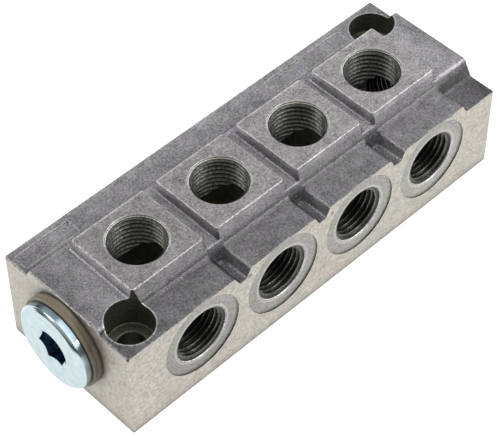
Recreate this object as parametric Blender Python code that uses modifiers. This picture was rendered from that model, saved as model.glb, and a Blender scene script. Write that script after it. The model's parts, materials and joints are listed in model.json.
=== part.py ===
"""Pneumatic distributor block: a die-cast body, a screw plug and its sealing ring.

The origin is in the middle of the flat bottom face. +X runs along the main channel, away from the plug,
-Y is the side with the front ports, and +Z points out of the top ports. All lengths are in metres.
"""

import math

import bmesh
import bpy

# Ports: a row in the top and a row in the front, over each other
PORT_COUNT = 4
PORT_PITCH = 0.025
PORT_END_MARGIN = 0.0215
PORT_THREAD_DIAMETER = 0.013157
PORT_MOUTH_DIAMETER = 0.0148
PORT_MOUTH_DEPTH = 0.00035
FRONT_SEAT_DIAMETER = 0.022
FRONT_SEAT_DEPTH = 0.0003

# Main channel and the inlet thread in each end
CHANNEL_DIAMETER = 0.015
CHANNEL_HEIGHT = 0.0164
INLET_THREAD_DIAMETER = 0.016662
INLET_THREAD_DEPTH = 0.013
INLET_MOUTH_DIAMETER = 0.0182
INLET_RUNOUT = 0.0015

# Block and the steps of its cast top
BLOCK_WIDTH = 0.041
BLOCK_HEIGHT = 0.0318
TOP_PAD_WIDTH = 0.020
TOP_PAD_RISE = 0.0031
TOP_CHANNEL_WIDTH = 0.004
FRONT_PAD_DROP = 0.0015
FRONT_GROOVE_WIDTH = 0.005
FRONT_GROOVE_DEPTH = 0.0028
BACK_SHELF_WIDTH = 0.0019
BACK_STRIP_DROP = 0.0023
WALL_DRAFT = math.radians(28)
TOP_PAD_DRAFT = math.radians(4)
TOP_PAD_FRONT_DRAFT = math.radians(17)
CAST_RADIUS = 0.0007
OUTER_RADIUS = 0.0005

# Mounting holes, one near the front left corner and one near the back right corner
MOUNT_INSET = 0.007
MOUNT_HOLE_DIAMETER = 0.0064
MOUNT_HEAD_DIAMETER = 0.0112
MOUNT_HEAD_DEPTH = 0.0084

# Bare recessed panels in the back strip
PANEL_WIDTH = 0.0041
PANEL_DEPTH = 0.0004
PANEL_BACK_MARGIN = 0.0019
LEFT_PANEL_LENGTH = 0.0153
LEFT_PANEL_END_MARGIN = 0.0015
RIGHT_PANEL_LENGTH = 0.025
RIGHT_PANEL_END_MARGIN = 0.014

# Screw plug and sealing ring
COLLAR_DIAMETER = 0.022
COLLAR_THICKNESS = 0.0023
COLLAR_CHAMFER = 0.0005
SHANK_LENGTH = 0.012
SHANK_CHAMFER = 0.0008
SOCKET_WIDTH = 0.008
SOCKET_DEPTH = 0.005
SOCKET_CHAMFER = 0.0003
SOCKET_TURN = math.radians(38)
RING_DIAMETER = 0.0235
RING_BORE = 0.0174
RING_THICKNESS = 0.0019
RING_CHAMFER = 0.0003
RING_GROOVE_WIDTH = 0.0006
RING_GROOVE_DEPTH = 0.00015

# Clearances and how finely round faces are divided
SEAT_GAP = 0.0003
THREAD_CLEARANCE = 0.0003
CUT_OVERRUN = 0.002
BORE_STEPS = 40
COLLAR_STEPS = 64
RADIUS_STEPS = 3

BLOCK_LENGTH = (PORT_COUNT - 1) * PORT_PITCH + 2 * PORT_END_MARGIN
FRONT_FACE = -BLOCK_WIDTH / 2
BACK_FACE = BLOCK_WIDTH / 2
LEFT_END = -BLOCK_LENGTH / 2
RIGHT_END = BLOCK_LENGTH / 2
PORT_PLACES = [LEFT_END + PORT_END_MARGIN + i * PORT_PITCH for i in range(PORT_COUNT)]

PLATEAU = BLOCK_HEIGHT - TOP_PAD_RISE
FRONT_PAD_TOP = PLATEAU - FRONT_PAD_DROP
GROOVE_FLOOR = FRONT_PAD_TOP - FRONT_GROOVE_DEPTH
STRIP_TOP = PLATEAU - BACK_STRIP_DROP

# Crossing bores start their flats at different angles, so that no edges of one meet edges of another
CHANNEL_START = math.radians(90) / BORE_STEPS
FRONT_START = math.radians(180) / BORE_STEPS

# The casting carries stock on every milled face, enough for its rounded edges to be milled away
MILLING_STOCK = 1.5 * CAST_RADIUS


def clear_scene():
    """Start from an empty scene."""
    for item in list(bpy.data.objects):
        bpy.data.objects.remove(item, do_unlink=True)


def new_collection(name):
    collection = bpy.data.collections.new(name)
    bpy.context.scene.collection.children.link(collection)
    return collection


def new_material(name, colour, roughness, metallic):
    """A Principled material of one colour."""
    material = bpy.data.materials.new(name)
    material.use_nodes = True
    shader = material.node_tree.nodes["Principled BSDF"]
    shader.inputs["Base Color"].default_value = (*colour, 1.0)
    shader.inputs["Roughness"].default_value = roughness
    shader.inputs["Metallic"].default_value = metallic
    return material


def object_from(bm, name, collection):
    """Turn an edit mesh into a smooth-shaded object."""
    mesh = bpy.data.meshes.new(name)
    bm.to_mesh(mesh)
    bm.free()
    mesh.shade_smooth()
    mesh.set_sharp_from_angle(angle=math.radians(30))
    item = bpy.data.objects.new(name, mesh)
    collection.objects.link(item)
    return item


def turned(name, profile, collection, steps, start_angle=0.0, closed=False):
    """Turn a profile of (radius, height) points about local Z. It runs down the outer side, top to bottom."""
    bm = bmesh.new()
    cosine = math.cos(start_angle)
    sine = math.sin(start_angle)
    corners = [bm.verts.new((radius * cosine, radius * sine, height)) for radius, height in profile]
    for upper, lower in zip(corners, corners[1:]):
        bm.edges.new((upper, lower))
    if closed:
        bm.edges.new((corners[-1], corners[0]))
    item = object_from(bm, name, collection)
    screw = item.modifiers.new("Turn", "SCREW")
    screw.steps = steps
    screw.render_steps = steps
    screw.use_merge_vertices = True
    screw.merge_threshold = 0.00001
    screw.use_smooth_shade = True
    return item


def box(name, low, high, collection):
    """A box between two corners, with its size in the mesh and no scale left on the object."""
    bm = bmesh.new()
    bmesh.ops.create_cube(bm, size=1.0)
    for vert in bm.verts:
        vert.co = [b if c > 0 else a for a, b, c in zip(low, high, vert.co)]
    return object_from(bm, name, collection)


def as_cutter(item):
    item.hide_render = True
    item.display_type = "WIRE"
    return item


def combine(item, other, operation):
    """Cut, join or trim one object by another with a live Boolean."""
    boolean = item.modifiers.new(other.name, "BOOLEAN")
    boolean.object = other
    boolean.operation = operation
    boolean.solver = "EXACT"


def steps_along(places, half_top, half_foot):
    """Stations of a row of pads with sloped sides: (x, share of the pad's height)."""
    stations = []
    for place in places:
        stations += [(place - half_foot, 0.0), (place - half_top, 1.0)]
        stations += [(place + half_top, 1.0), (place + half_foot, 0.0)]
    return stations


def share_at(x, stations):
    """How far up its pad the surface is at x, straight between two stations."""
    if x <= stations[0][0]:
        return stations[0][1]
    for (x0, share0), (x1, share1) in zip(stations, stations[1:]):
        if x <= x1:
            return share0 + (share1 - share0) * (x - x0) / (x1 - x0)
    return stations[-1][1]


def relief_section(top_share, front_share):
    """The casting's outline over one station, from the front face across the top to the back face."""
    cast_top = BLOCK_HEIGHT + MILLING_STOCK
    top = PLATEAU + top_share * (cast_top - PLATEAU)
    front_top = GROOVE_FLOOR + front_share * (FRONT_PAD_TOP - GROOVE_FLOOR)

    pad_front_foot = -TOP_PAD_WIDTH / 2 - TOP_PAD_RISE * math.tan(TOP_PAD_FRONT_DRAFT)
    pad_back_foot = TOP_PAD_WIDTH / 2 + TOP_PAD_RISE * math.tan(TOP_PAD_DRAFT)
    shelf_edge = TOP_PAD_WIDTH / 2 + BACK_SHELF_WIDTH
    return [
        (FRONT_FACE - MILLING_STOCK, front_top),
        (pad_front_foot - (PLATEAU - front_top) * math.tan(WALL_DRAFT), front_top),
        (pad_front_foot, PLATEAU),
        (pad_front_foot + (top - PLATEAU) * math.tan(TOP_PAD_FRONT_DRAFT), top),
        (pad_back_foot - (top - PLATEAU) * math.tan(TOP_PAD_DRAFT), top),
        (pad_back_foot, PLATEAU),
        (shelf_edge, PLATEAU),
        (shelf_edge + BACK_STRIP_DROP * math.tan(WALL_DRAFT), STRIP_TOP),
        (BACK_FACE + MILLING_STOCK, STRIP_TOP),
    ]


def rough_casting(collection):
    """The raw casting: pads, channels, front wall and strip lofted in one skin, with cast radii."""
    half_top_pad = (PORT_PITCH - TOP_CHANNEL_WIDTH) / 2
    half_front_pad = (PORT_PITCH - FRONT_GROOVE_WIDTH) / 2
    top_stations = steps_along(
        PORT_PLACES,
        half_top_pad - MILLING_STOCK * math.tan(TOP_PAD_DRAFT),
        half_top_pad + TOP_PAD_RISE * math.tan(TOP_PAD_DRAFT),
    )
    front_stations = steps_along(
        PORT_PLACES,
        half_front_pad,
        half_front_pad + FRONT_GROOVE_DEPTH * math.tan(WALL_DRAFT),
    )
    # The first front pad runs on to the left end
    front_stations = front_stations[1:]

    ends = [LEFT_END - MILLING_STOCK, RIGHT_END + MILLING_STOCK]
    places = sorted(set(ends + [x for x, _ in top_stations + front_stations]))
    sections = [relief_section(share_at(x, top_stations), share_at(x, front_stations)) for x in places]

    bm = bmesh.new()
    columns = len(places) - 1
    rows = len(sections[0]) - 1
    bmesh.ops.create_grid(bm, x_segments=columns, y_segments=rows, size=0.5)
    for vert in bm.verts:
        column = round((vert.co.x + 0.5) * columns)
        row = round((vert.co.y + 0.5) * rows)
        vert.co = (places[column], *sections[column][row])
    bmesh.ops.remove_doubles(bm, verts=bm.verts, dist=0.00001)

    # Walls down from the skin's rim, and the bottom
    rim = [edge for edge in bm.edges if edge.is_boundary]
    walls = bmesh.ops.extrude_edge_only(bm, edges=rim)["geom"]
    for item in walls:
        if isinstance(item, bmesh.types.BMVert):
            item.co.z = -MILLING_STOCK
    bmesh.ops.holes_fill(bm, edges=[edge for edge in bm.edges if edge.is_boundary])
    bmesh.ops.dissolve_limit(bm, angle_limit=math.radians(1), verts=bm.verts, edges=bm.edges)
    bmesh.ops.recalc_face_normals(bm, faces=bm.faces)

    casting = object_from(bm, "distributor_body", collection)
    bevel = casting.modifiers.new("Cast radii", "BEVEL")
    bevel.limit_method = "ANGLE"
    bevel.angle_limit = math.radians(20)
    bevel.width = CAST_RADIUS
    bevel.segments = RADIUS_STEPS
    bevel.use_clamp_overlap = False
    # Three-cornered faces stay flat, also where a radius twists round a corner
    casting.modifiers.new("Flat faces", "TRIANGULATE")
    return casting


def milled_envelope(collection):
    """The block's outer box, to which ends, front, back, bottom and pad tops are milled."""
    envelope = box(
        "milled_envelope",
        (LEFT_END, FRONT_FACE, 0.0),
        (RIGHT_END, BACK_FACE, BLOCK_HEIGHT),
        collection,
    )
    bevel = envelope.modifiers.new("Outer radii", "BEVEL")
    bevel.limit_method = "WEIGHT"
    bevel.width = OUTER_RADIUS
    bevel.segments = RADIUS_STEPS
    bevel.use_clamp_overlap = False
    weights = envelope.data.attributes.new("bevel_weight_edge", "FLOAT", "EDGE")
    # The upright edges and the bottom edges are rounded. The top edges pass above the casting
    for edge in envelope.data.edges:
        low_end = min(envelope.data.vertices[i].co.z for i in edge.vertices)
        weights.data[edge.index].value = 1.0 if low_end < BLOCK_HEIGHT / 2 else 0.0
    return as_cutter(envelope)


def port_cutter(name, reach, collection, start_angle=0.0, seat_diameter=0.0, seat_depth=0.0):
    """A tapped port bored from its face down to the channel's axis, with a stepped and chamfered mouth."""
    bore = PORT_THREAD_DIAMETER / 2
    mouth = PORT_MOUTH_DIAMETER / 2
    seat = seat_diameter / 2
    mouth_floor = -seat_depth - PORT_MOUTH_DEPTH
    above = [(0.0, CUT_OVERRUN), (mouth, CUT_OVERRUN)]
    if seat_depth:
        above = [(0.0, CUT_OVERRUN), (seat, CUT_OVERRUN), (seat, -seat_depth), (mouth, -seat_depth)]
    below = [(mouth, mouth_floor), (bore, mouth_floor - (mouth - bore)), (bore, -reach), (0.0, -reach)]
    return as_cutter(turned(name, above + below, collection, BORE_STEPS, start_angle))


def channel_cutter(collection):
    """The main channel with a tapped inlet at each end. Its local zero is halfway, its axis local Z."""
    core = CHANNEL_DIAMETER / 2
    bore = INLET_THREAD_DIAMETER / 2
    mouth = INLET_MOUTH_DIAMETER / 2
    face = BLOCK_LENGTH / 2
    thread_end = face - INLET_THREAD_DEPTH
    half = [
        (mouth, face + CUT_OVERRUN),
        (mouth, face),
        (bore, face - (mouth - bore)),
        (bore, thread_end),
        (core, thread_end - INLET_RUNOUT),
    ]
    other_half = [(radius, -height) for radius, height in reversed(half)]
    ends = [(0.0, face + CUT_OVERRUN), (0.0, -face - CUT_OVERRUN)]
    profile = ends[:1] + half + other_half + ends[1:]
    return as_cutter(turned("channel_core", profile, collection, BORE_STEPS, CHANNEL_START))


def mount_cutter(name, collection):
    """A through hole with a counterbore for a screw head. Its local zero is on the plateau."""
    head = MOUNT_HEAD_DIAMETER / 2
    hole = MOUNT_HOLE_DIAMETER / 2
    profile = [
        (0.0, TOP_PAD_RISE + CUT_OVERRUN),
        (head, TOP_PAD_RISE + CUT_OVERRUN),
        (head, -MOUNT_HEAD_DEPTH),
        (hole, -MOUNT_HEAD_DEPTH),
        (hole, -PLATEAU - CUT_OVERRUN),
        (0.0, -PLATEAU - CUT_OVERRUN),
    ]
    return as_cutter(turned(name, profile, collection, BORE_STEPS))


def panel_cutter(name, start, end, collection):
    """A shallow panel recess in the back strip, with drafted sides and rounded corners."""
    back = BACK_FACE - PANEL_BACK_MARGIN
    cutter = box(
        name,
        (start, back - PANEL_WIDTH, STRIP_TOP - PANEL_DEPTH),
        (end, back, STRIP_TOP + PANEL_DEPTH),
        collection,
    )
    spread = 2 * PANEL_DEPTH * math.tan(WALL_DRAFT)
    middle = ((start + end) / 2, back - PANEL_WIDTH / 2)
    for vert in cutter.data.vertices:
        if vert.co.z < STRIP_TOP:
            vert.co.x += spread if vert.co.x < middle[0] else -spread
            vert.co.y += spread if vert.co.y < middle[1] else -spread
    bevel = cutter.modifiers.new("Panel corners", "BEVEL")
    bevel.limit_method = "ANGLE"
    bevel.width = PANEL_DEPTH
    bevel.segments = 1
    return as_cutter(cutter)


def distributor_body(parts, cutters):
    """The die-cast block: raw casting, milled outside, then bored, tapped and counterbored."""
    body = rough_casting(parts)
    body.data.materials.append(new_material("cast_alloy", (0.36, 0.34, 0.35), 0.5, 0.85))
    combine(body, milled_envelope(cutters), "INTERSECT")

    channel = channel_cutter(cutters)
    channel.location = (0.0, 0.0, CHANNEL_HEIGHT)
    channel.rotation_euler = (0.0, math.radians(90), 0.0)
    combine(body, channel, "DIFFERENCE")

    for number, place in enumerate(PORT_PLACES, 1):
        top_port = port_cutter(f"top_port_{number}", BLOCK_HEIGHT - CHANNEL_HEIGHT, cutters)
        top_port.location = (place, 0.0, BLOCK_HEIGHT)
        combine(body, top_port, "DIFFERENCE")
        front_port = port_cutter(
            f"front_port_{number}",
            BLOCK_WIDTH / 2,
            cutters,
            FRONT_START,
            FRONT_SEAT_DIAMETER,
            FRONT_SEAT_DEPTH,
        )
        front_port.location = (place, FRONT_FACE, CHANNEL_HEIGHT)
        front_port.rotation_euler = (math.radians(90), 0.0, 0.0)
        combine(body, front_port, "DIFFERENCE")

    for name, x, y in (
        ("mount_left", LEFT_END + MOUNT_INSET, FRONT_FACE + MOUNT_INSET),
        ("mount_right", RIGHT_END - MOUNT_INSET, BACK_FACE - MOUNT_INSET),
    ):
        mount = mount_cutter(name, cutters)
        mount.location = (x, y, PLATEAU)
        combine(body, mount, "DIFFERENCE")

    left_start = LEFT_END + LEFT_PANEL_END_MARGIN
    right_end = RIGHT_END - RIGHT_PANEL_END_MARGIN
    for name, start, end in (
        ("panel_left", left_start, left_start + LEFT_PANEL_LENGTH),
        ("panel_right", right_end - RIGHT_PANEL_LENGTH, right_end),
    ):
        combine(body, panel_cutter(name, start, end, cutters), "DIFFERENCE")
    return body


def screw_plug(parts, cutters):
    """The collar plug in the left inlet. Its local zero is the collar's sealing face, +Z points outwards."""
    collar = COLLAR_DIAMETER / 2
    shank = INLET_THREAD_DIAMETER / 2 - THREAD_CLEARANCE
    shank_end = -(SHANK_LENGTH - SEAT_GAP)
    plug = turned(
        "screw_plug",
        [
            (0.0, COLLAR_THICKNESS),
            (collar - COLLAR_CHAMFER, COLLAR_THICKNESS),
            (collar, COLLAR_THICKNESS - COLLAR_CHAMFER),
            (collar, 0.0),
            (shank, 0.0),
            (shank, shank_end + SHANK_CHAMFER),
            (shank - SHANK_CHAMFER, shank_end),
            (0.0, shank_end),
        ],
        parts,
        COLLAR_STEPS,
    )
    plug.data.materials.append(new_material("plated_steel", (0.72, 0.76, 0.82), 0.22, 1.0))
    plug.location = (LEFT_END - RING_THICKNESS - 2 * SEAT_GAP, 0.0, CHANNEL_HEIGHT)
    plug.rotation_euler = (0.0, math.radians(-90), 0.0)

    bm = bmesh.new()
    socket_radius = SOCKET_WIDTH / 2 / math.cos(math.radians(30))
    bmesh.ops.create_cone(
        bm,
        cap_ends=True,
        segments=6,
        radius1=socket_radius,
        radius2=socket_radius,
        depth=SOCKET_DEPTH + CUT_OVERRUN,
    )
    socket = object_from(bm, "hexagon_socket", cutters)
    socket.parent = plug
    socket.location = (0.0, 0.0, COLLAR_THICKNESS + (CUT_OVERRUN - SOCKET_DEPTH) / 2)
    socket.rotation_euler = (0.0, 0.0, SOCKET_TURN)
    combine(plug, as_cutter(socket), "DIFFERENCE")

    countersink = turned(
        "socket_countersink",
        [
            (0.0, COLLAR_THICKNESS + CUT_OVERRUN),
            (socket_radius + SOCKET_CHAMFER, COLLAR_THICKNESS + CUT_OVERRUN),
            (socket_radius + SOCKET_CHAMFER, COLLAR_THICKNESS),
            (0.0, COLLAR_THICKNESS - socket_radius - SOCKET_CHAMFER),
        ],
        cutters,
        BORE_STEPS,
    )
    countersink.parent = plug
    combine(plug, as_cutter(countersink), "DIFFERENCE")
    return plug


def sealing_ring(parts):
    """The grooved ring between the plug's collar and the end face. Its local zero is on the block's side."""
    outer = RING_DIAMETER / 2
    inner = RING_BORE / 2
    middle = RING_THICKNESS / 2
    ring = turned(
        "sealing_ring",
        [
            (outer - RING_CHAMFER, RING_THICKNESS),
            (outer, RING_THICKNESS - RING_CHAMFER),
            (outer, middle + RING_GROOVE_WIDTH / 2),
            (outer - RING_GROOVE_DEPTH, middle),
            (outer, middle - RING_GROOVE_WIDTH / 2),
            (outer, RING_CHAMFER),
            (outer - RING_CHAMFER, 0.0),
            (inner, 0.0),
            (inner, RING_THICKNESS),
        ],
        parts,
        COLLAR_STEPS,
        closed=True,
    )
    ring.data.materials.append(new_material("khaki_plastic", (0.42, 0.36, 0.24), 0.55, 0.0))
    ring.location = (LEFT_END - SEAT_GAP, 0.0, CHANNEL_HEIGHT)
    ring.rotation_euler = (0.0, math.radians(-90), 0.0)
    return ring


clear_scene()
part_collection = new_collection("pneumatic_distributor_block")
cutter_collection = new_collection("cutters")
distributor_body(part_collection, cutter_collection)
screw_plug(part_collection, cutter_collection)
sealing_ring(part_collection)
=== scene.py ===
"""Pneumatic distributor block, dressed for its picture: cast block, collar plug and sealing ring."""

import json
import math

import bmesh
import bpy
from mathutils import Matrix, Vector

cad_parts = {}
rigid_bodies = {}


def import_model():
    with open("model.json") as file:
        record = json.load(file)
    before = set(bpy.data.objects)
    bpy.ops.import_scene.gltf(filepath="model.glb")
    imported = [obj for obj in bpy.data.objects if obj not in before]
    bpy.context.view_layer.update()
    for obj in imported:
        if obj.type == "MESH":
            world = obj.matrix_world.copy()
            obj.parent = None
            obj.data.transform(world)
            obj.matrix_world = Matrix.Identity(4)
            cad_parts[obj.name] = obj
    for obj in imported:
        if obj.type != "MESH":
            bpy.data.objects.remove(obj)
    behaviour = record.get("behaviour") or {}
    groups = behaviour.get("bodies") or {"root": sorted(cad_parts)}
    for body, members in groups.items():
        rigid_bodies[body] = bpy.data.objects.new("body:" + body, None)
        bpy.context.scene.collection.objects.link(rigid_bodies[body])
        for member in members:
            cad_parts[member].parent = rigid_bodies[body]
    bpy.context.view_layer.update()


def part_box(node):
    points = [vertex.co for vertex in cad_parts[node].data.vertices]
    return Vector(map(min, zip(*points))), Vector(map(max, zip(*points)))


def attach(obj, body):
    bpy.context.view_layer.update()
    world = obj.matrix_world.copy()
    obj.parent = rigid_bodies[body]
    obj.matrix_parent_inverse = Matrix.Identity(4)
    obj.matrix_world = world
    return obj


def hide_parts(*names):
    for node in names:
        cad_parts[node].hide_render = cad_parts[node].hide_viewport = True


for leftover in list(bpy.data.objects):
    bpy.data.objects.remove(leftover, do_unlink=True)
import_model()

# The block
# One die-cast light-alloy block, grey from the die. Its front and ends are blasted and its pad tops milled.
# A cored channel runs through it and is tapped at both ends; eight tapped ports lead into it.
# Two counterbored holes in opposite corners take the screws that hold it to a machine.

block_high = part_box("distributor_body")[1]
HALF_LENGTH = block_high.x
HALF_WIDTH = block_high.y
PAD_TOP = block_high.z
MM = 0.001
# Points nearer to each other than this are one point
TOUCHING = 1e-6

PORT_COUNT = 4
PORT_PITCH = 25 * MM
PORT_PLACES = [(i - (PORT_COUNT - 1) / 2) * PORT_PITCH for i in range(PORT_COUNT)]
CHANNEL_HEIGHT = 16.4 * MM
CHANNEL_DIAMETER = 15 * MM

PLATEAU = PAD_TOP - 3.1 * MM
FRONT_PAD_TOP = PLATEAU - 1.5 * MM
GROOVE_FLOOR = FRONT_PAD_TOP - 2.8 * MM
STRIP_TOP = PLATEAU - 2.3 * MM
PAD_HALF_WIDTH = 10 * MM
SHELF_WIDTH = 1.9 * MM
TOP_CHANNEL_WIDTH = 4 * MM
FRONT_GROOVE_WIDTH = 5 * MM
WALL_SLOPE = math.tan(math.radians(28))
PAD_SLOPE = math.tan(math.radians(4))
PAD_FRONT_SLOPE = math.tan(math.radians(17))

CAST_RADIUS = 0.7 * MM
OUTER_RADIUS = 0.5 * MM
MILLED_RADIUS = 0.16 * MM
RIM_RADIUS = 0.5 * MM
RADIUS_STEPS = 4
SMOOTH_ANGLE = math.radians(14)


def pad_stations(half_top, half_foot):
    """Along the row of ports, where each pad's sloped sides begin and end: (x, share of its height)."""
    stations = []
    for place in PORT_PLACES:
        stations += [(place - half_foot, 0.0), (place - half_top, 1.0)]
        stations += [(place + half_top, 1.0), (place + half_foot, 0.0)]
    return stations


def share_at(x, stations):
    """How far up its pad the surface is at x."""
    if x <= stations[0][0]:
        return stations[0][1]
    for (x0, share0), (x1, share1) in zip(stations, stations[1:]):
        if x <= x1:
            return share0 + (share1 - share0) * (x - x0) / (x1 - x0)
    return stations[-1][1]


def section_across(top_share, front_share):
    """The block's top outline over one station, from the front face to the back face."""
    top = PLATEAU + top_share * (PAD_TOP - PLATEAU)
    front_top = GROOVE_FLOOR + front_share * (FRONT_PAD_TOP - GROOVE_FLOOR)
    crease = -PAD_HALF_WIDTH - (PAD_TOP - PLATEAU) * PAD_FRONT_SLOPE
    back_foot = PAD_HALF_WIDTH + (PAD_TOP - PLATEAU) * PAD_SLOPE
    shelf = PAD_HALF_WIDTH + SHELF_WIDTH
    return [
        (-HALF_WIDTH, front_top),
        (crease - (PLATEAU - front_top) * WALL_SLOPE, front_top),
        (crease, PLATEAU),
        (crease + (top - PLATEAU) * PAD_FRONT_SLOPE, top),
        (back_foot - (top - PLATEAU) * PAD_SLOPE, top),
        (back_foot, PLATEAU),
        (shelf, PLATEAU),
        (shelf + (PLATEAU - STRIP_TOP) * WALL_SLOPE, STRIP_TOP),
        (HALF_WIDTH, STRIP_TOP),
    ]


def edge_radius(edge):
    """The radius on one edge of the block: none where its faces run on, small where a cutter passed."""
    if edge.calc_face_angle(0.0) < SMOOTH_ANGLE:
        return 0.0
    start, end = (vert.co for vert in edge.verts)

    def both(axis, value):
        """True where both ends of the edge lie at this height, width or length."""
        return abs(start[axis] - value) < TOUCHING and abs(end[axis] - value) < TOUCHING

    on_ends = both(0, HALF_LENGTH) or both(0, -HALF_LENGTH)
    on_sides = both(1, HALF_WIDTH) or both(1, -HALF_WIDTH)
    if on_ends and on_sides or both(2, 0.0):
        return OUTER_RADIUS
    if on_sides or both(2, PAD_TOP):
        return MILLED_RADIUS
    return RIM_RADIUS if on_ends else CAST_RADIUS


SKIN, BLASTED, TURNED, TAPPED, CORED = range(5)


def in_channel(face):
    """True for the walls inside the block's outline, which the blasting never reached."""
    middle = face.calc_center_median()
    return abs(middle.x) < HALF_LENGTH - MM and abs(middle.y) < HALF_WIDTH - MM and middle.z > MM


def linked(name, data):
    """An object in the scene that holds this mesh, light or camera."""
    item = bpy.data.objects.new(name, data)
    bpy.context.scene.collection.objects.link(item)
    return item


def solid_from(name, bm):
    """Turns finished geometry into an object."""
    mesh = bpy.data.meshes.new(name)
    bm.to_mesh(mesh)
    bm.free()
    return linked(name, mesh)


def cast_block(finishes):
    """The block before drilling, with its pads, channels, front wall and back strip in one skin."""
    half_pad = (PORT_PITCH - TOP_CHANNEL_WIDTH) / 2
    half_front = (PORT_PITCH - FRONT_GROOVE_WIDTH) / 2
    top_stations = pad_stations(half_pad, half_pad + (PAD_TOP - PLATEAU) * PAD_SLOPE)
    # The first front pad runs on to the left end, so its left side has no slope
    half_foot = half_front + (FRONT_PAD_TOP - GROOVE_FLOOR) * WALL_SLOPE
    front_stations = pad_stations(half_front, half_foot)[1:]
    places = sorted({-HALF_LENGTH, HALF_LENGTH} | {x for x, _ in top_stations + front_stations})
    sections = [section_across(share_at(x, top_stations), share_at(x, front_stations)) for x in places]

    bm = bmesh.new()
    columns = len(places) - 1
    rows = len(sections[0]) - 1
    bmesh.ops.create_grid(bm, x_segments=columns, y_segments=rows, size=0.5)
    for vert in bm.verts:
        column = round((vert.co.x + 0.5) * columns)
        row = round((vert.co.y + 0.5) * rows)
        vert.co = (places[column], *sections[column][row])
    bmesh.ops.remove_doubles(bm, verts=bm.verts, dist=TOUCHING)
    rim = [edge for edge in bm.edges if edge.is_boundary]
    for item in bmesh.ops.extrude_edge_only(bm, edges=rim)["geom"]:
        if isinstance(item, bmesh.types.BMVert):
            item.co.z = 0.0
    bmesh.ops.holes_fill(bm, edges=[edge for edge in bm.edges if edge.is_boundary])
    bmesh.ops.dissolve_limit(bm, angle_limit=math.radians(1), verts=bm.verts, edges=bm.edges)
    bmesh.ops.recalc_face_normals(bm, faces=bm.faces)

    for face in bm.faces:
        outward = max(abs(face.normal.x), abs(face.normal.y), -face.normal.z)
        on_skin = face.normal.z > 0.1 or outward < 0.99
        face.material_index = SKIN if on_skin or in_channel(face) else BLASTED
    weight = bm.edges.layers.float.new("bevel_weight_edge")
    for edge in bm.edges:
        edge[weight] = edge_radius(edge) / CAST_RADIUS
    block = solid_from("block", bm)
    for finish in finishes:
        block.data.materials.append(finish)
    bevel = block.modifiers.new("Radii", "BEVEL")
    bevel.limit_method = "WEIGHT"
    bevel.width = CAST_RADIUS
    bevel.segments = RADIUS_STEPS
    bevel.use_clamp_overlap = False
    block.modifiers.new("Flat faces", "TRIANGULATE")
    return block


def put(tree, kind, inputs=(), **settings):
    """Adds a node with its settings, and its sockets linked or set."""
    node = tree.nodes.new(kind)
    for key, value in settings.items():
        setattr(node, key, value)
    for key, value in dict(inputs).items():
        if isinstance(value, bpy.types.NodeSocket):
            tree.links.new(value, node.inputs[key])
        else:
            node.inputs[key].default_value = value
    return node


def calc(tree, operation, a, b=0.0):
    """One step of arithmetic on numbers or on other nodes' results."""
    return put(tree, "ShaderNodeMath", {0: a, 1: b}, operation=operation).outputs[0]


def product(tree, *factors):
    """Several numbers multiplied together."""
    result = factors[0]
    for factor in factors[1:]:
        result = calc(tree, "MULTIPLY", result, factor)
    return result


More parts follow.
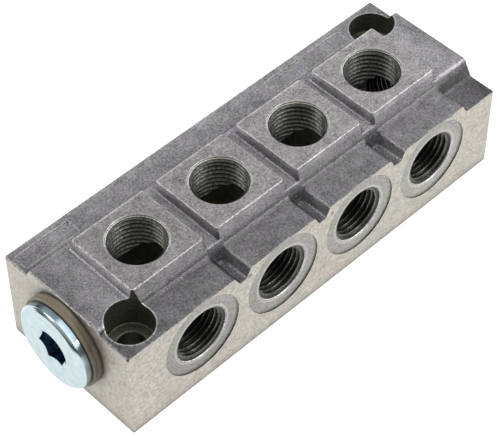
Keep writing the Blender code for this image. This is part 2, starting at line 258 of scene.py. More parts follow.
def thread_tree():
    """Geometry Nodes: the solid left by a tap, a right-handed pipe thread about Z with closed ends."""
    tree = bpy.data.node_groups.new("Pipe thread", "GeometryNodeTree")
    tree.interface.new_socket("Geometry", in_out="OUTPUT", socket_type="NodeSocketGeometry")
    for name, kind in (
        ("Root Radius", "NodeSocketFloat"),
        ("Crest Radius", "NodeSocketFloat"),
        ("Pitch", "NodeSocketFloat"),
        ("Turns", "NodeSocketInt"),
        ("Steps a Turn", "NodeSocketInt"),
        ("Steps a Pitch", "NodeSocketInt"),
        ("Material", "NodeSocketMaterial"),
    ):
        tree.interface.new_socket(name, in_out="INPUT", socket_type=kind)
    given = tree.nodes.new("NodeGroupInput").outputs
    root = given["Root Radius"]
    crest = given["Crest Radius"]
    pitch = given["Pitch"]
    turns = given["Turns"]

    # A flat sheet, one unit round and one unit along, is rolled up and pushed in and out along a helix
    counts = {
        "Vertices X": calc(tree, "ADD", given["Steps a Turn"], 1),
        "Vertices Y": calc(tree, "ADD", product(tree, turns, given["Steps a Pitch"]), 1),
    }
    sheet = put(tree, "GeometryNodeMeshGrid", counts).outputs["Mesh"]
    place = put(tree, "GeometryNodeInputPosition").outputs[0]
    x, y, z = put(tree, "ShaderNodeSeparateXYZ", {0: place}).outputs
    round_share = calc(tree, "ADD", x, 0.5)
    angle = product(tree, round_share, 2 * math.pi)
    turn = product(tree, y, turns)
    wave = calc(tree, "COSINE", product(tree, turn, 2 * math.pi))
    middle = product(tree, calc(tree, "ADD", root, crest), 0.5)
    half_depth = product(tree, calc(tree, "SUBTRACT", root, crest), 0.5)
    radius = calc(tree, "ADD", middle, product(tree, wave, half_depth))
    rolled = {
        "X": product(tree, calc(tree, "COSINE", angle), radius),
        "Y": product(tree, calc(tree, "SINE", angle), radius),
        "Z": product(tree, calc(tree, "ADD", turn, round_share), pitch),
    }
    rolled = put(tree, "ShaderNodeCombineXYZ", rolled).outputs[0]
    tube = put(tree, "GeometryNodeSetPosition", {"Geometry": sheet, "Position": rolled}).outputs[0]
    tube = put(tree, "GeometryNodeMergeByDistance", {"Geometry": tube, "Distance": TOUCHING}).outputs[0]

    # Each open end is drawn in to a point on the axis
    neighbours = put(tree, "GeometryNodeInputMeshEdgeNeighbors").outputs[0]
    is_rim = put(tree, "FunctionNodeCompare", {2: neighbours, 3: 1}, data_type="INT", operation="EQUAL")
    rim = {"Mesh": tube, "Selection": is_rim.outputs[0], "Offset Scale": 0.0}
    pulled = put(tree, "GeometryNodeExtrudeMesh", rim, mode="EDGES").outputs
    to_end = product(tree, calc(tree, "SIGN", z), product(tree, turns, pitch), 0.5)
    height = calc(tree, "ADD", to_end, product(tree, pitch, 0.5))
    tip = put(tree, "ShaderNodeCombineXYZ", {"Z": height}).outputs[0]
    drawn_in = {"Geometry": pulled["Mesh"], "Selection": pulled["Top"], "Position": tip}
    solid = put(tree, "GeometryNodeSetPosition", drawn_in).outputs[0]
    solid = put(tree, "GeometryNodeMergeByDistance", {"Geometry": solid, "Distance": TOUCHING}).outputs[0]

    solid = put(tree, "GeometryNodeRealizeInstances", {0: solid}).outputs[0]
    painted = {"Geometry": solid, "Material": given["Material"]}
    painted = put(tree, "GeometryNodeSetMaterial", painted).outputs[0]
    put(tree, "NodeGroupOutput", {0: painted})
    return tree


THREAD_PITCH = 1.337 * MM
THREAD_STEPS = 48
THREAD_ROWS = 8
pipe_thread = thread_tree()


def thread_tool(name, root_diameter, crest_diameter, length):
    """A baked thread solid as long as needed, centred on the origin along Z."""
    holder = linked(name, bpy.data.meshes.new(name))
    maker = holder.modifiers.new("Thread", "NODES")
    maker.node_group = pipe_thread
    sockets = {item.name: item.identifier for item in pipe_thread.interface.items_tree}
    maker[sockets["Root Radius"]] = root_diameter / 2
    maker[sockets["Crest Radius"]] = crest_diameter / 2
    maker[sockets["Pitch"]] = THREAD_PITCH
    maker[sockets["Turns"]] = math.ceil(length / THREAD_PITCH)
    maker[sockets["Steps a Turn"]] = THREAD_STEPS
    maker[sockets["Steps a Pitch"]] = THREAD_ROWS
    evaluated = holder.evaluated_get(bpy.context.evaluated_depsgraph_get())
    mesh = bpy.data.meshes.new_from_object(evaluated)
    holder.modifiers.clear()
    bm = bmesh.new()
    bm.from_mesh(mesh)
    bmesh.ops.recalc_face_normals(bm, faces=bm.faces)
    bm.to_mesh(mesh)
    bm.free()
    holder.data = mesh
    return holder


def turned(name, profile, steps, start=0.0, closed=False):
    """A solid turned about Z from (radius, height) points: from axis to axis, or round a closed loop.

    Each cutter starts at an angle of its own, so that no two of them have corners in one plane.
    """
    bm = bmesh.new()
    angles = [start + 2 * math.pi * i / steps for i in range(steps)]
    rings = []
    for radius, height in profile:
        if radius == 0.0:
            rings.append([bm.verts.new((0.0, 0.0, height))])
        else:
            corners = [(radius * math.cos(a), radius * math.sin(a), height) for a in angles]
            rings.append([bm.verts.new(corner) for corner in corners])
    follow = rings[1:] + (rings[:1] if closed else [])
    for lower, upper in zip(rings, follow):
        for i in range(steps):
            j = (i + 1) % steps
            corners = [lower[i % len(lower)], lower[j % len(lower)]]
            corners += [upper[j % len(upper)], upper[i % len(upper)]]
            bm.faces.new(list(dict.fromkeys(corners)))
    bmesh.ops.recalc_face_normals(bm, faces=bm.faces)
    return solid_from(name, bm)


def boxed(name, low, high, radius):
    """A box between two corners, its edges rounded."""
    bm = bmesh.new()
    bmesh.ops.create_cube(bm, size=1.0)
    for vert in bm.verts:
        vert.co = [low[i] if vert.co[i] < 0 else high[i] for i in range(3)]
    bmesh.ops.bevel(bm, geom=bm.edges[:], offset=radius, segments=3, profile=0.5, affect="EDGES")
    return solid_from(name, bm)


def carry(solid, matrix):
    """Moves a mesh, leaving its object at the origin."""
    solid.data.transform(matrix)
    return solid


def combine(solid, tools, operation="DIFFERENCE"):
    """Cuts tools out of a solid one after another, or joins them to it, or keeps only what they share."""
    for tool in tools:
        step = solid.modifiers.new(tool.name, "BOOLEAN")
        step.operation = operation
        step.solver = "MANIFOLD"
        step.object = tool


SLIVER = 0.002 * MM


def finished(solid, name, tools, sharp_angle):
    """Bakes the cuts into one plain mesh, dissolves its slivers and clears the tools away.

    The mesh is smooth where the real surface runs on, and sharp past the angle, in degrees.
    """
    evaluated = solid.evaluated_get(bpy.context.evaluated_depsgraph_get())
    mesh = bpy.data.meshes.new_from_object(evaluated)
    for used in [solid, *tools]:
        bpy.data.objects.remove(used, do_unlink=True)
    bm = bmesh.new()
    bm.from_mesh(mesh)
    bmesh.ops.dissolve_degenerate(bm, dist=SLIVER, edges=bm.edges)
    bm.to_mesh(mesh)
    bm.free()
    mesh.name = name
    mesh.shade_smooth()
    mesh.set_sharp_from_angle(angle=math.radians(sharp_angle))
    piece = linked(name, mesh)
    normals = piece.modifiers.new("Flat faces stay flat", "WEIGHTED_NORMAL")
    normals.keep_sharp = True
    return piece


def finish_slot(solid, slot):
    """All of a tool's faces leave the same finish behind."""
    for face in solid.data.polygons:
        face.material_index = slot
    return solid


THREAD_ROOT = 14.1 * MM
THREAD_CREST = 12.5 * MM
DRILL_RADIUS = 6.32 * MM
MOUTH_STEPS = 96
# The mouths' sections in millimetres, from the axis above the face down to the drilled hole
TOP_MOUTH = [
    (0.0, 1.0),
    (8.38, 1.0),
    (7.38, 0.0),
    (7.2, -0.16),
    (7.17, -0.32),
    (6.95, -0.44),
    (6.32, -0.7),
]
FRONT_MOUTH = [
    (0.0, 2.0),
    (11.0, 2.0),
    (11.0, -0.26),
    (10.95, -0.3),
    (7.5, -0.3),
    (7.3, -0.5),
    (7.27, -0.62),
    (6.95, -0.74),
    (6.32, -1.0),
]
# Outside these radii a mouth was cut clean, and inside them it is part of the thread
TOP_CLEAN_RADIUS = 7.0 * MM
FRONT_CLEAN_RADIUS = 7.2 * MM


def port_tools(name, profile, clean_radius, depth, matrix, turn):
    """A mouth with its drilled hole, and the thread below it. Local zero is on the block's face."""
    points = [(radius * MM, height * MM) for radius, height in profile]
    points += [(DRILL_RADIUS, -depth), (0.0, -depth)]
    mouth = turned(name + "_mouth", points, MOUTH_STEPS, start=0.011)
    for face in mouth.data.polygons:
        clean = abs(face.normal.z) > 0.3 and face.center.xy.length > clean_radius
        face.material_index = TURNED if clean else TAPPED
    carry(mouth, matrix)
    thread = thread_tool(name + "_thread", THREAD_ROOT, THREAD_CREST, depth)
    thread_length = math.ceil(depth / THREAD_PITCH) * THREAD_PITCH
    sunk = Matrix.Translation((0, 0, thread_length / 2 - depth - THREAD_PITCH / 2))
    carry(thread, matrix @ sunk @ Matrix.Rotation(turn, 4, "Z"))
    return [mouth, finish_slot(thread, TAPPED)]


tools = []
for i, x in enumerate(PORT_PLACES):
    # No two threads begin at the same angle
    top_turn = 0.9 * i
    front_turn = 0.7 + 1.3 * i
    on_top = Matrix.Translation((x, 0, PAD_TOP))
    tools += port_tools(f"top_{i}", TOP_MOUTH, TOP_CLEAN_RADIUS, PAD_TOP - CHANNEL_HEIGHT, on_top, top_turn)
    on_front = Matrix.Translation((x, -HALF_WIDTH, CHANNEL_HEIGHT)) @ Matrix.Rotation(math.pi / 2, 4, "X")
    tools += port_tools(f"front_{i}", FRONT_MOUTH, FRONT_CLEAN_RADIUS, HALF_WIDTH, on_front, front_turn)

INLET_ROOT = 16.662 * MM
INLET_CREST = 14.95 * MM
INLET_DEPTH = 14.3 * MM
INLET_MOUTH_RADIUS = 9.1 * MM
BORE_STEPS = 72
lie_down = Matrix.Translation((0, 0, CHANNEL_HEIGHT)) @ Matrix.Rotation(math.pi / 2, 4, "Y")
channel_radius = CHANNEL_DIAMETER / 2
inlet_radius = INLET_ROOT / 2
flare_depth = (INLET_MOUTH_RADIUS - channel_radius) * 1.2
half_channel = [
    (INLET_MOUTH_RADIUS + MM, HALF_LENGTH + MM),
    (INLET_MOUTH_RADIUS, HALF_LENGTH),
    (inlet_radius, HALF_LENGTH - INLET_MOUTH_RADIUS + inlet_radius),
    (channel_radius, HALF_LENGTH - flare_depth),
]
channel_profile = [(0.0, HALF_LENGTH + MM), *half_channel]
channel_profile += [(radius, -along) for radius, along in reversed(half_channel)]
channel_profile.append((0.0, -HALF_LENGTH - MM))
channel = turned("channel", channel_profile, BORE_STEPS, start=0.023)
for face in channel.data.polygons:
    at_mouth = abs(face.center.z) > HALF_LENGTH - 2 * MM
    face.material_index = TURNED if at_mouth else CORED
tools.append(carry(channel, lie_down))
inlet_length = math.ceil((INLET_DEPTH + MM) / THREAD_PITCH) * THREAD_PITCH
inlet_middle = HALF_LENGTH - INLET_DEPTH + inlet_length / 2
to_left = lie_down @ Matrix.Translation((0, 0, -inlet_middle)) @ Matrix.Rotation(math.pi, 4, "X")
to_right = lie_down @ Matrix.Translation((0, 0, inlet_middle))
for name, matrix in (("left", to_left), ("right", to_right)):
    inlet = thread_tool(f"inlet_{name}", INLET_ROOT, INLET_CREST, inlet_length)
    tools.append(finish_slot(carry(inlet, matrix), TAPPED))

MOUNT_INSET = 7 * MM
MOUNT_PROFILE = [
    (0.0, PAD_TOP + MM),
    (5.65 * MM, PAD_TOP + MM),
    (5.6 * MM, 20.6 * MM),
    (5.3 * MM, 20.3 * MM),
    (3.4 * MM, 20.3 * MM),
    (3.2 * MM, 20.1 * MM),
    (3.2 * MM, 0.25 * MM),
    (3.5 * MM, -0.05 * MM),
    (3.5 * MM, -MM),
    (0.0, -MM),
]
for side in (-1, 1):
    mount = turned("mount", MOUNT_PROFILE, BORE_STEPS, start=0.017)
    place = Matrix.Translation((side * (HALF_LENGTH - MOUNT_INSET), side * (HALF_WIDTH - MOUNT_INSET), 0))
    tools.append(finish_slot(carry(mount, place), CORED))

PANEL_FRONT = HALF_WIDTH - 6.0 * MM
PANEL_BACK = HALF_WIDTH - 1.9 * MM
PANEL_FLOOR = STRIP_TOP - 0.4 * MM
PANELS = ((-57.5 * MM, -42.2 * MM), (20.0 * MM, 45.0 * MM))
for start, end in PANELS:
    low = (start, PANEL_FRONT, PANEL_FLOOR)
    high = (end, PANEL_BACK, STRIP_TOP + 2 * MM)
    tools.append(finish_slot(boxed("panel", low, high, 0.2 * MM), SKIN))

# Small knocks on the edges, each the hollow left by a round corner: (x, y, z, radius) in millimetres
KNOCKS = (
    (-59.0, -16.6, 28.2, 0.9),
    (-59.1, -8.3, 28.9, 0.8),
    (-59.1, 3.2, 29.0, 0.7),
    (-59.1, 17.0, 26.6, 0.7),
    (-36.0, -20.7, 27.3, 0.6),
    (-23.0, -20.8, 24.6, 0.7),
    (3.2, -20.8, 24.7, 0.6),
    (12.0, -20.7, 27.3, 0.5),
    (43.0, -20.7, 27.3, 0.6),
    (59.1, -12.0, 27.4, 0.7),
    (-27.3, -10.1, 31.9, 0.45),
    (-2.3, -10.1, 31.9, 0.4),
    (22.9, 9.9, 31.9, 0.4),
    (-48.2, 2.0, 31.9, 0.4),
)
# One pore in the casting is open at the front left corner, dark with the bores' painted shade
PORES = ((-58.85, -20.35, 27.0, 0.42),)
HOLLOW_SECTION = ((0.0, 1.0), (0.71, 0.71), (1.0, 0.0), (0.71, -0.71), (0.0, -1.0))
HOLLOW_STEPS = 9
for slot, hollows in ((BLASTED, KNOCKS), (CORED, PORES)):
    for x, y, z, radius in hollows:
        section = [(r * radius * MM, h * radius * MM) for r, h in HOLLOW_SECTION]
        hollow = turned("hollow", section, HOLLOW_STEPS, start=x)
        carry(hollow, Matrix.Translation((x * MM, y * MM, z * MM)))
        tools.append(finish_slot(hollow, slot))


def between(tree, value, low, high, out_low=0.0, out_high=1.0):
    """Spreads a value's range over another, and stops at its ends."""
    inputs = {"Value": value, "From Min": low, "From Max": high, "To Min": out_low, "To Max": out_high}
    return put(tree, "ShaderNodeMapRange", inputs).outputs["Result"]


def tinted(tree, share, first, second):
    """A mix of two colours, each a colour or another mix."""
    node = put(tree, "ShaderNodeMix", data_type="RGBA")
    for index, value in ((0, share), (6, first), (7, second)):
        if isinstance(value, bpy.types.NodeSocket):
            tree.links.new(value, node.inputs[index])
        elif index:
            node.inputs[index].default_value = (*value, 1.0)
        else:
            node.inputs[index].default_value = value
    return node.outputs[2]


def dimmed(tree, colour, share):
    """A colour made darker or brighter as a whole."""
    return put(tree, "ShaderNodeVectorMath", {0: colour, 3: share}, operation="SCALE").outputs[0]


def position(tree):
    """Where on the part the surface is: X, Y and Z in metres."""
    place = put(tree, "ShaderNodeTexCoord").outputs["Object"]
    return put(tree, "ShaderNodeSeparateXYZ", {0: place}).outputs


def facing(tree):
    """Which way the surface faces: X, Y and Z of its normal."""
    normal = put(tree, "ShaderNodeNewGeometry").outputs["Normal"]
    return put(tree, "ShaderNodeSeparateXYZ", {0: normal}).outputs


def axis_distance(tree, a, b):
    """The distance from an axis, from the distances to it in two directions."""
    return calc(tree, "SQRT", calc(tree, "ADD", product(tree, a, a), product(tree, b, b)))


def shared_effect(name, inputs, outputs):
    """An empty node group with its sockets, its input node and its output node."""
    tree = bpy.data.node_groups.new(name, "ShaderNodeTree")
    for label, value in inputs:
        socket = tree.interface.new_socket(label, in_out="INPUT", socket_type="NodeSocketFloat")
        socket.default_value = value
    for label in outputs:
        tree.interface.new_socket(label, in_out="OUTPUT", socket_type="NodeSocketFloat")
    return tree, tree.nodes.new("NodeGroupInput"), tree.nodes.new("NodeGroupOutput")


def grain_effect():
    """The tooth of a metal surface: fine grain, cloudy stains over it, a drift of tint and stray specks."""
    sizes = (("Grain Size", 0.3 * MM), ("Stain Size", 3 * MM), ("Speck Size", 0.5 * MM))
    tree, given, result = shared_effect("Metal grain", sizes, ("Grain", "Stain", "Tint", "Speck"))
    here = put(tree, "ShaderNodeTexCoord").outputs["Object"]
    elsewhere = put(tree, "ShaderNodeMapping", {"Vector": here, "Location": (0.3, 0.1, 0.2)}).outputs[0]
    # Each cloud's place and size, how fine and how rough it is, and the range of it that shows
    for label, size, place, finer, detail, roughness, low, high in (
        ("Grain", "Grain Size", here, 1.0, 3.0, 0.65, 0.3, 0.7),
        ("Stain", "Stain Size", here, 1.0, 5.0, 0.65, 0.3, 0.7),
        ("Tint", "Stain Size", elsewhere, 1.4, 2.0, 0.5, 0.35, 0.65),
        ("Speck", "Speck Size", elsewhere, 1.4, 0.0, 0.5, 0.73, 0.8),
    ):
        scale = calc(tree, "DIVIDE", finer, given.outputs[size])
        look = {"Vector": place, "Scale": scale, "Detail": detail, "Roughness": roughness}
        cloud = put(tree, "ShaderNodeTexNoise", look).outputs["Fac"]
        tree.links.new(between(tree, cloud, low, high), result.inputs[label])
    return tree


def wear_and_crease_shade_effect():
    """Where a surface is rubbed bright, along its outer edges, and how shut in its creases are, for dirt
    and painted shade.
    """
    sizes = (("Edge Width", 0.5 * MM), ("Crease Width", 1.5 * MM))
    tree, given, result = shared_effect("Edge wear", sizes, ("Edge", "Crease"))
    for label, inside, low, high in (("Edge", True, 0.92, 0.62), ("Crease", False, 0.88, 0.42)):
        width = {"Distance": given.outputs[label + " Width"]}
        openness = put(tree, "ShaderNodeAmbientOcclusion", width, inside=inside, samples=6).outputs["AO"]
        tree.links.new(between(tree, openness, low, high), result.inputs[label])
    return tree


def ring_effect():
    """The fine rings that a cutter leaves, from the distance to the axis that it turned round."""
    values = (("Distance", 0.0), ("Ring Width", 0.2 * MM), ("Detail", 2.0))
    tree, given, result = shared_effect("Cutter rings", values, ("Ring",))
    place = calc(tree, "DIVIDE", given.outputs["Distance"], given.outputs["Ring Width"])
    look = {"W": place, "Scale": 1.0, "Detail": given.outputs["Detail"]}
    rings = put(tree, "ShaderNodeTexNoise", look, noise_dimensions="1D").outputs["Fac"]
    tree.links.new(rings, result.inputs["Ring"])
    return tree


metal_grain = grain_effect()
wear_and_crease_shade = wear_and_crease_shade_effect()
cutter_rings = ring_effect()


def new_finish(name, metallic, roughness=0.5):
    """An empty material with its node tree and its shader."""
    material = bpy.data.materials.new(name)
    material.use_nodes = True
    tree = material.node_tree
    surface = tree.nodes["Principled BSDF"]
    surface.inputs["Metallic"].default_value = metallic
    surface.inputs["Roughness"].default_value = roughness
    return material, tree, surface


def rounded_normal(tree, radius, height, depth):
    """Softens every edge a little, as deburring does, and adds the grain's relief."""
    soft = put(tree, "ShaderNodeBevel", {"Radius": radius}, samples=4).outputs[0]
    return put(tree, "ShaderNodeBump", {"Height": height, "Distance": depth, "Normal": soft}).outputs[0]


def front_painted_light(tree):
    """The front ledge is darker, and the walls above it get painted shade by the way they face, with a
    painted highlight under each pad's front edge.

    Walls that face left are painted paler, as if lit.
    """
    x, y, z = position(tree)
    facing_x, facing_y, _ = facing(tree)
    # Painted shade where the wall meets the ledge, and the ledge darker as a whole
    foot_shade = between(tree, facing_y, -0.35, -0.05, 0.34, 0.60)
    ledge = between(tree, y, -11.4 * MM, -11.1 * MM, foot_shade, 1.0)
    # A painted highlight under each pad's front edge, stronger towards the left
    highlight_band = between(tree, z, PAD_TOP - 1.1 * MM, PAD_TOP - 0.4 * MM, 1.3, 1.05)
    pad_front = between(tree, z, PAD_TOP - 1.35 * MM, PAD_TOP - 1.1 * MM, 0.70, highlight_band)
    pad_front = product(tree, pad_front, between(tree, x, -40 * MM, 40 * MM, 1.32, 0.92))
    # Walls that face the front get painted shade
    steep = between(tree, z, PLATEAU - 0.5 * MM, PLATEAU - 0.1 * MM, 0.52, pad_front)
    wall = between(tree, facing_y, -0.85, -0.5, steep, 1.0)
    # Walls that face left get painted light, most at the left end
    left_wall_light = between(tree, x, -47 * MM, -46.5 * MM, 2.0, 1.65)
    side = between(tree, facing_x, -0.9, -0.6, left_wall_light, 1.0)
    return product(tree, calc(tree, "MINIMUM", ledge, wall), side)


def strip_shade_and_tone(tree):
    """The back strip is darkened next to the plateau, partly dirt and partly painted shade, and the floors
    of its panels are a touch paler.
    """
    x, y, z = position(tree)
    floor = between(tree, z, STRIP_TOP - 0.38 * MM, STRIP_TOP - 0.3 * MM, 1.06, 1.0)
    panel = between(tree, y, 12 * MM, 12.5 * MM, 1.0, floor)
    strip = between(tree, x, -45 * MM, 45 * MM, 1.32, 1.05)
    strip = between(tree, y, 10.5 * MM, 13 * MM, 1.0, strip)
    # Painted shade, partly dirt, next to the plateau
    foot_shade = between(tree, y, 13.5 * MM, 20 * MM, 0.64, 0.84)
    foot_shade = between(tree, z, STRIP_TOP + 0.4 * MM, STRIP_TOP + 0.8 * MM, foot_shade, 1.0)
    return product(tree, panel, strip, foot_shade)


def channel_painted_shade(tree, milled):
    """Paints shade into the channels between the pads, darkest where their walls face left and most of all
    at the front.

    The milled tops are spared.
    """
    x, y, z = position(tree)
    floor = between(tree, calc(tree, "ABSOLUTE", y), 10.2 * MM, 10.5 * MM, 0.82, 1.0)
    wall = between(tree, y, -10.4 * MM, -9.4 * MM, 0.18, 0.52)
    wall = product(tree, wall, between(tree, z, PAD_TOP - 1.6 * MM, PAD_TOP - 0.3 * MM, 1.0, 1.9))
    channel = between(tree, facing(tree)[0], -0.5, -0.1, wall, floor)
    channel = between(tree, z, PLATEAU - 0.3 * MM, PLATEAU - 0.1 * MM, 1.0, channel)
    channel = between(tree, calc(tree, "ABSOLUTE", x), 47.5 * MM, 49 * MM, channel, 1.0)
    return calc(tree, "MAXIMUM", channel, milled)


def painted_light_and_tone(tree):
    """Painted light and shade on the cast skin by place and facing, with tone that changes along the block,
    and a mask of the tops that milling made bright again.
    """
    x, y, z = position(tree)
    milled = between(tree, z, PAD_TOP - 0.4 * MM, PAD_TOP - 0.1 * MM)
    # Paler towards the right, as painted light, and darker near both ends
    along = between(tree, x, -HALF_LENGTH, HALF_LENGTH, 0.82, 1.21)
    ends = between(tree, calc(tree, "ABSOLUTE", x), 52 * MM, 57 * MM, 1.0, 0.76)
    # The pads' back edges get a painted highlight
    back_edge_highlight = between(tree, z, PAD_TOP - 0.3 * MM, PAD_TOP - 0.1 * MM, 1.0, 1.65)
    back_edge_highlight = between(tree, y, 9.4 * MM, 9.65 * MM, 1.0, back_edge_highlight)
    zones = (front_painted_light(tree), strip_shade_and_tone(tree), channel_painted_shade(tree, milled))
    return product(tree, along, ends, back_edge_highlight, *zones), milled


# The dark colour that creases fade to, partly dirt and partly painted shade
CREASE_DIRT_AND_SHADE = (0.06, 0.055, 0.055)


def metal_skin(name, dark, light, tints, edge, roughness, sizes, depth, shaded=False, rim_tone=None):
    """A rough metal surface: two tones of grain, a drift of tint, bright rubbed edges, and creases darkened
    partly by dirt and partly by painted shade; shaded skins also take painted light and shade.
    """
    material, tree, surface = new_finish(name, 0.92)
    grain_size, stain_size, speck_size, crease_width = (size * MM for size in sizes)
    patches = {"Grain Size": grain_size, "Stain Size": stain_size, "Speck Size": speck_size}
    grain = put(tree, "ShaderNodeGroup", patches, node_tree=metal_grain)
    wear_and_shade = put(tree, "ShaderNodeGroup", {"Crease Width": crease_width}, node_tree=wear_and_crease_shade)
    grains = grain.outputs["Grain"]
    stains = grain.outputs["Stain"]
    tone = calc(tree, "ADD", product(tree, stains, 0.32), product(tree, grains, 0.68))
    cast = tinted(tree, grain.outputs["Tint"], *tints[:2])
    # The cast skin takes painted light and shade by its place and the way it faces
    if shaded:
        shade, milled = painted_light_and_tone(tree)
        cast = dimmed(tree, tinted(tree, milled, cast, tints[2]), shade)
    if rim_tone:
        # A rim that rounds over to the top keeps some of the dark skin
        cast = dimmed(tree, cast, between(tree, facing(tree)[2], 0.15, 0.5, 1.0, rim_tone))
    inputs = {0: tinted(tree, tone, dark, light), 1: cast}
    colour = put(tree, "ShaderNodeVectorMath", inputs, operation="MULTIPLY").outputs[0]
    # Creases are darkened where the surface is shut in: partly dirt, partly painted shade
    colour = tinted(tree, product(tree, wear_and_shade.outputs["Crease"], 0.7), colour, CREASE_DIRT_AND_SHADE)

    # The edges are rubbed bright where the grain is high, but hardly at all along the front face
    high_grain = between(tree, grains, 0.2, 0.6, 0.15, 1.0)
    spared = between(tree, position(tree)[1], -HALF_WIDTH + 0.5 * MM, -HALF_WIDTH + 0.9 * MM, 0.15, 1.0)
    rubbed = product(tree, wear_and_shade.outputs["Edge"], high_grain, spared)
    bright = calc(tree, "MAXIMUM", rubbed, product(tree, grain.outputs["Speck"], 0.35))
    tree.links.new(tinted(tree, bright, colour, edge), surface.inputs["Base Color"])
    rough = between(tree, stains, 0.0, 1.0, roughness - 0.05, roughness + 0.07)
    tree.links.new(calc(tree, "SUBTRACT", rough, product(tree, bright, 0.1)), surface.inputs["Roughness"])
    tree.links.new(rounded_normal(tree, 0.12 * MM, grains, depth * MM), surface.inputs["Normal"])
    return material


def from_port_axis(tree):
    """The distances to the nearest port's axis, along the row and across it."""
    x, y, z = position(tree)
    share = calc(tree, "FRACT", calc(tree, "DIVIDE", x, PORT_PITCH))
    along = product(tree, calc(tree, "SUBTRACT", share, 0.5), PORT_PITCH)
    in_front = calc(tree, "LESS_THAN", y, -HALF_WIDTH + 4 * MM)
    rise = calc(tree, "SUBTRACT", z, CHANNEL_HEIGHT)
    across = put(tree, "ShaderNodeMix", {0: in_front, 2: y, 3: rise}).outputs[0]
    return along, across


def crest_mask(tree, distance):
    """One on the crests of a thread and zero at its roots, in the ports and in the wider inlets."""
    x, y, z = position(tree)
    from_channel = axis_distance(tree, y, calc(tree, "SUBTRACT", z, CHANNEL_HEIGHT))
    from_channel = calc(tree, "SUBTRACT", from_channel, (INLET_CREST - THREAD_CREST) / 2)
    in_end = calc(tree, "GREATER_THAN", calc(tree, "ABSOLUTE", x), HALF_LENGTH - INLET_DEPTH)
    radius = put(tree, "ShaderNodeMix", {0: in_end, 2: distance, 3: from_channel}).outputs[0]
    return between(tree, radius, THREAD_CREST / 2, THREAD_ROOT / 2 - 0.1 * MM, 1.0, 0.0)


RUB_RADIUS = 7.9 * MM
LIP_RADIUS = 7.49 * MM


def seat_wear_and_glint(tree, base, along, across, distance, grains):
    """Front seats are darker low down towards the left, with a ring rubbed into each.

    Every mouth's rim has a painted, broken highlight.
    """
    x, _, z = position(tree)
    low_tone = between(tree, x, -40 * MM, 40 * MM, 0.84, 1.12)
    base = dimmed(tree, base, between(tree, z, 15 * MM, 25 * MM, low_tone, 1.0))
    from_rub = calc(tree, "ABSOLUTE", calc(tree, "SUBTRACT", distance, RUB_RADIUS))
    rub = between(tree, from_rub, 0.1 * MM, 0.3 * MM, 0.45, 0.0)
    base = tinted(tree, rub, base, (0.62, 0.61, 0.57))
    # The painted highlight on the rim is weakest on its side towards the back right, 46 degrees round from
    # the row
    away = calc(tree, "ADD", product(tree, along, 0.69), product(tree, across, 0.72))
    strength = between(tree, calc(tree, "DIVIDE", away, distance), 0.1, 0.8, 0.75, 0.2)
    lip_glint = between(tree, distance, LIP_RADIUS, LIP_RADIUS + 0.03 * MM, strength, 0.0)
    lip_glint = product(tree, lip_glint, between(tree, grains, 0.25, 0.6, 0.3, 1.0))
    return tinted(tree, lip_glint, base, (0.88, 0.86, 0.83))


def turned_metal(name, colour, mark_colour, roughness, crest_colour=None):
    """A face that a rotating cutter left, ringed round each port's axis: a seat, or a thread with paler
    crests.
    """
    material, tree, surface = new_finish(name, 1.0)
    along, across = from_port_axis(tree)
    distance = axis_distance(tree, along, across)
    look = {"Distance": distance, "Ring Width": 0.16 * MM}
    rings = put(tree, "ShaderNodeGroup", look, node_tree=cutter_rings).outputs["Ring"]
    marks = between(tree, rings, 0.3, 0.7)
    patches = {"Grain Size": 0.5 * MM, "Stain Size": 3 * MM}
    grains = put(tree, "ShaderNodeGroup", patches, node_tree=metal_grain).outputs["Grain"]
    shade = calc(tree, "ADD", product(tree, marks, 0.35), product(tree, grains, 0.65))
    base = tinted(tree, shade, mark_colour, colour)
    if crest_colour:
        base = tinted(tree, product(tree, crest_mask(tree, distance), grains), base, crest_colour)
    else:
        base = seat_wear_and_glint(tree, base, along, across, distance, grains)
    tree.links.new(base, surface.inputs["Base Color"])
    rough = between(tree, shade, 0.0, 1.0, roughness + 0.08, roughness - 0.05)
    tree.links.new(rough, surface.inputs["Roughness"])
    tree.links.new(rounded_normal(tree, 0.1 * MM, marks, 0.01 * MM), surface.inputs["Normal"])
    return material


cast_skin = metal_skin(
    "cast_skin",
    dark=(0.11, 0.11, 0.11),
    light=(0.70, 0.70, 0.70),
    tints=((1.015, 0.955, 1.04), (0.985, 0.975, 0.965), (1.03, 0.97, 0.975)),
    edge=(0.80, 0.79, 0.78),
    roughness=0.42,
    sizes=(0.45, 4.0, 0.4, 1.5),
    depth=0.03,
    shaded=True,
)
blasted_face = metal_skin(
    "blasted_face",
    dark=(0.27, 0.27, 0.27),
    light=(0.57, 0.57, 0.57),
    tints=((1.05, 0.95, 0.84), (0.98, 0.96, 0.85)),
    edge=(0.80, 0.79, 0.77),
    roughness=0.47,
    sizes=(0.8, 5.0, 0.5, 4.0),
    depth=0.06,
    rim_tone=0.6,
)
turned_seat = turned_metal("turned_seat", (0.44, 0.425, 0.395), (0.17, 0.165, 0.152), 0.45)
# The threads are a dark copy of the turned metal, painted shade inside the ports, with paler crests
shaded_thread = turned_metal(
    "shaded_thread", (0.065, 0.065, 0.057), (0.02, 0.02, 0.016), 0.36, crest_colour=(0.23, 0.23, 0.21)
)
# The channel, mount holes and pore are a dark copy of the cast skin: painted shade inside them
shaded_bore = metal_skin(
    "shaded_bore",
    dark=(0.08, 0.08, 0.065),
    light=(0.24, 0.24, 0.20),
    tints=((1.0, 1.0, 0.95), (0.95, 1.0, 0.9)),
    edge=(0.40, 0.40, 0.38),
    roughness=0.5,
    sizes=(0.8, 4.0, 0.5, 1.5),
    depth=0.03,
)

block = cast_block((cast_skin, blasted_face, turned_seat, shaded_thread, shaded_bore))
combine(block, tools)
casting = finished(block, "block_casting", tools, 32)
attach(casting, "root")
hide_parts("distributor_body")

